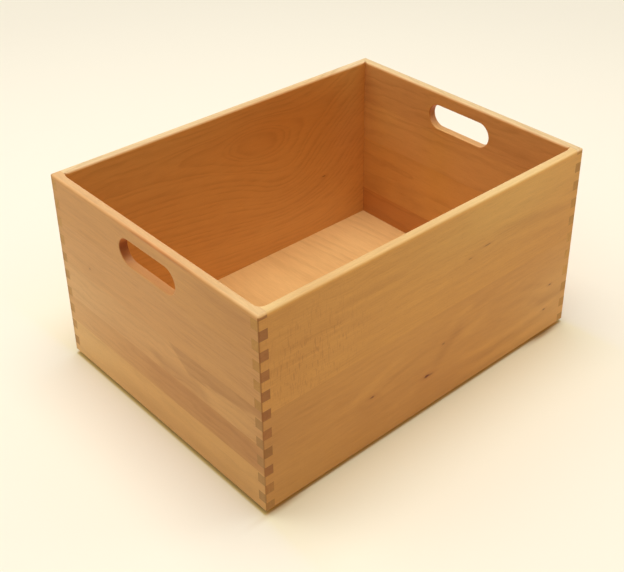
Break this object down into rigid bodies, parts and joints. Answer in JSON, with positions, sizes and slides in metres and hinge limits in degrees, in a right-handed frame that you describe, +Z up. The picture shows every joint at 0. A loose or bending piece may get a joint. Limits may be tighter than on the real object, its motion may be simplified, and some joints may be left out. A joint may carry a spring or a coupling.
{
  "type": "open wooden storage box",
  "caption": "Open-topped rectangular beech storage box with finger-jointed corners, an oval hand hole in each end wall, a rounded rim and a grooved-in plywood floor",
  "frame": {"origin": "centre of the box's footprint, on the surface that its feet stand on", "axes": "+X along the long walls, +Y across the end walls towards the back wall, +Z up"},
  "size_m": [0.4, 0.3, 0.206],
  "materials": {
    "beech_warm": "oiled, satin",
    "beech_pale": "oiled, satin",
    "beech_rosy": "oiled, satin",
    "veneer": "oiled, satin",
    "core_ply": "bare cross-grain ply",
    "foot_rubber": "matt"
  },
  "bodies": {
    "root": {"front_lower_board": "beech_warm", "front_upper_board": "beech_pale", "back_lower_board": "beech_warm", "back_upper_board": "beech_pale", "left_stave_1": "beech_pale", "left_stave_2": "beech_rosy", "left_stave_3": "beech_warm", "left_stave_4": "beech_pale", "left_stave_5": "beech_warm", "right_stave_1": "beech_rosy", "right_stave_2": "beech_pale", "right_stave_3": "beech_warm", "right_stave_4": "beech_pale", "right_stave_5": "beech_warm", "floor_top_veneer": "veneer", "floor_core": "core_ply", "floor_bottom_veneer": "veneer", "foot_front_left": "foot_rubber", "foot_front_right": "foot_rubber", "foot_back_left": "foot_rubber", "foot_back_right": "foot_rubber"}
  },
  "joints": []
}
